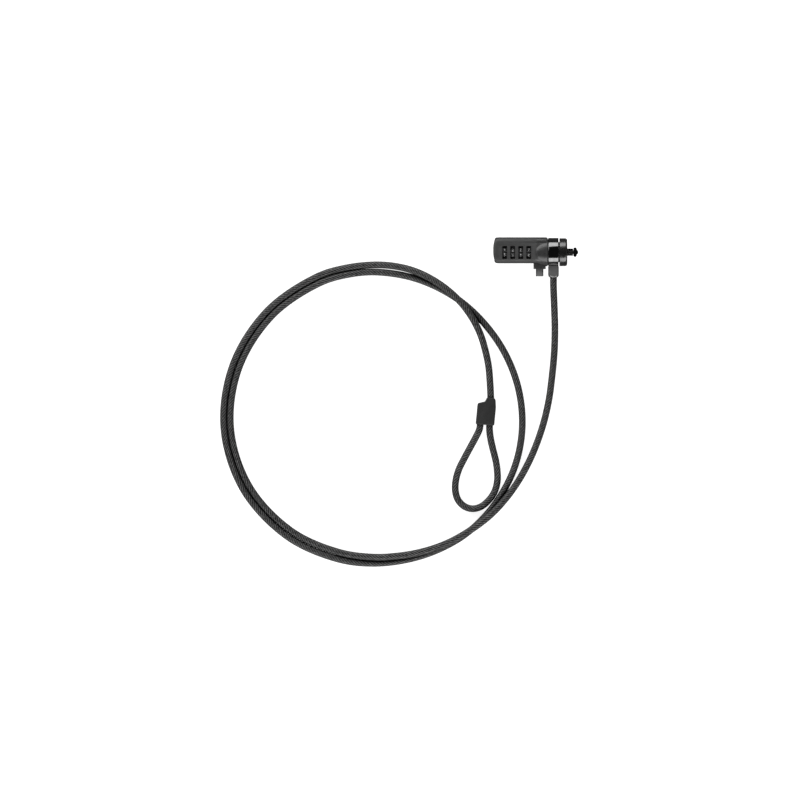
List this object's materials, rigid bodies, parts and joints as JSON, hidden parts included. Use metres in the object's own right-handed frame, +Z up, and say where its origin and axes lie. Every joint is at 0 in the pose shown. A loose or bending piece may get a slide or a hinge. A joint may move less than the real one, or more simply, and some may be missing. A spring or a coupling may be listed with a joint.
{
  "type": "laptop cable lock",
  "caption": "Combination cable lock for a laptop slot: dial head with a push button and turning T-bar nose, swivel ring, and a coated cable ending in a crimped eye.",
  "frame": {"origin": "on the surface that the lock lies on, under the middle of the head", "axes": "+X along the head towards its T-bar, +Y across the head away from its push button, +Z up out of the dial windows"},
  "size_m": [0.2505, 0.2303, 0.0199],
  "materials": {
    "housing_plastic": "satin black moulding",
    "satin_black": "satin black coating",
    "black_chrome": "polished black plating",
    "dark_steel": "dark plated steel",
    "steel": "plain steel",
    "brass": "plain brass",
    "dial_plastic": "semi-gloss black with white digits",
    "button_plastic": "satin dark grey",
    "cable_coat": "smoky clear coat over dark steel strands",
    "sleeve_plastic": "matt black moulding"
  },
  "bodies": {
    "cable": {"swivel_ring": "black_chrome", "cable_socket": "button_plastic", "cable_main": "cable_coat", "crimp_sleeve": "sleeve_plastic", "cable_eye": "cable_coat"},
    "head": {"housing": "housing_plastic", "rear_cap": "satin_black", "end_washer": "steel", "thrust_washer": "satin_black", "spacer_1": "steel", "spacer_2": "steel", "spacer_3": "steel", "divider_plate": "steel", "detent_spring": "steel", "button_spring": "steel", "spindle_spring": "steel", "nose_guide": "dark_steel", "front_collar": "satin_black", "collar_pin": "steel"},
    "dial_1_set": {"dial_1": "dial_plastic", "clutch_sleeve_1": "brass"},
    "dial_2_set": {"dial_2": "dial_plastic", "clutch_sleeve_2": "brass"},
    "dial_3_set": {"dial_3": "dial_plastic", "clutch_sleeve_3": "brass"},
    "dial_4_set": {"dial_4": "dial_plastic", "clutch_sleeve_4": "brass"},
    "button": {"push_button": "button_plastic", "yoke_plate": "steel"},
    "nose": {"t_bar": "dark_steel", "crank": "steel"},
    "spindle": {"code_spindle": "brass"},
    "reset": {"reset_screw": "steel"}
  },
  "joints": [
    {"name": "head_swivel", "type": "hinge", "parent": "cable", "child": "head", "pos_m": [0.01225, 0.0033, 0.00995], "axis": [1, 0, 0], "continuous": true},
    {"name": "dial_1_turn", "type": "hinge", "parent": "head", "child": "dial_1_set", "pos_m": [-0.02195, 0.0033, 0.00995], "axis": [1, 0, 0], "continuous": true},
    {"name": "dial_2_turn", "type": "hinge", "parent": "head", "child": "dial_2_set", "pos_m": [-0.01635, 0.0033, 0.00995], "axis": [1, 0, 0], "continuous": true},
    {"name": "dial_3_turn", "type": "hinge", "parent": "head", "child": "dial_3_set", "pos_m": [-0.01075, 0.0033, 0.00995], "axis": [1, 0, 0], "continuous": true},
    {"name": "dial_4_turn", "type": "hinge", "parent": "head", "child": "dial_4_set", "pos_m": [-0.00515, 0.0033, 0.00995], "axis": [1, 0, 0], "continuous": true},
    {"name": "button_press", "type": "slide", "parent": "head", "child": "button", "axis": [0, 1, 0], "range_m": [0, 0.004], "stiffness_N_per_m": 250, "springref_m": -0.002, "deforming": ["button_spring"]},
    {"name": "t_bar_turn", "type": "hinge", "parent": "head", "child": "nose", "pos_m": [0.02185, 0.0033, 0.00995], "axis": [-1, 0, 0], "range_deg": [0, 90]},
    {"name": "spindle_slide", "type": "slide", "parent": "head", "child": "spindle", "axis": [-1, 0, 0], "range_m": [0, 0.0019], "deforming": ["spindle_spring"]},
    {"name": "reset_turn", "type": "hinge", "parent": "head", "child": "reset", "pos_m": [-0.02735, 0.0033, 0.00995], "axis": [1, 0, 0], "range_deg": [0, 90]}
  ],
  "couplings": [
    {"joint": "t_bar_turn", "follows": "button_press", "rad_per_m": 392.69},
    {"joint": "spindle_slide", "follows": "button_press", "ratio": 0.475}
  ]
}
